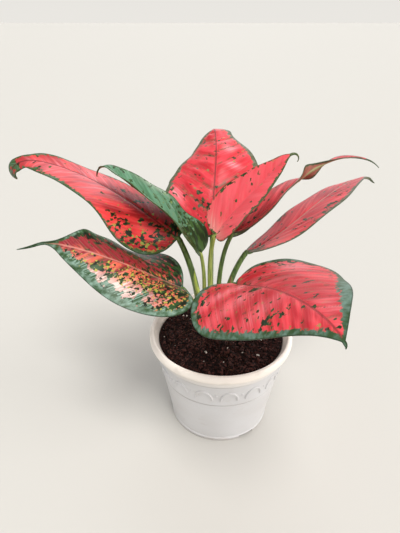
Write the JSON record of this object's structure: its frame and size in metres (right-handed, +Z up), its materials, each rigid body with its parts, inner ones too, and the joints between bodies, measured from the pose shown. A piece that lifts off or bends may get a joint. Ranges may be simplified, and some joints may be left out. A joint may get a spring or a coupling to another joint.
{
  "type": "potted chinese evergreen",
  "caption": "Pink and green leaved house plant growing from a short cane in soil, in a tapered white plastic pot with a rolled rim.",
  "frame": {"origin": "centre of the flat underside of the pot's base", "axes": "+Z up along the pot's axis; -Y towards the viewer of the front leaf; +X to that viewer's right"},
  "size_m": [0.3347, 0.3157, 0.2767],
  "materials": {
    "pot_plastic": "satin warm-white polypropylene",
    "potting_soil": "dark fibrous peat mix",
    "cane_bark": "green ringed cane, pale roots below",
    "petiole_green": "smooth waxy stalk",
    "leaf_red": "waxy crimson leaf with green margin",
    "leaf_speckled": "waxy orange leaf with green and yellow specks",
    "leaf_green": "waxy blue-green leaf",
    "leaf_coral": "waxy coral pink leaf with green margin",
    "leaf_rose": "waxy dusty rose leaf with pale midrib",
    "young_growth": "smooth yellow-green rolled leaf",
    "dried_sheath": "dry papery brown"
  },
  "bodies": {
    "root": {"pot": "pot_plastic", "soil": "potting_soil", "rooted_stem": "cane_bark", "petiole_left_upper": "petiole_green", "petiole_left_lower": "petiole_green", "petiole_left_back": "petiole_green", "petiole_back": "petiole_green", "petiole_centre": "petiole_green", "petiole_right_back": "petiole_green", "petiole_right": "petiole_green", "petiole_front": "petiole_green", "blade_left_upper": "leaf_red", "blade_left_lower": "leaf_speckled", "blade_left_back": "leaf_green", "blade_back": "leaf_coral", "blade_centre": "leaf_coral", "blade_right_back": "leaf_red", "blade_right": "leaf_rose", "blade_front": "leaf_coral", "young_shoot": "young_growth", "dried_sheath": "dried_sheath"}
  },
  "joints": []
}
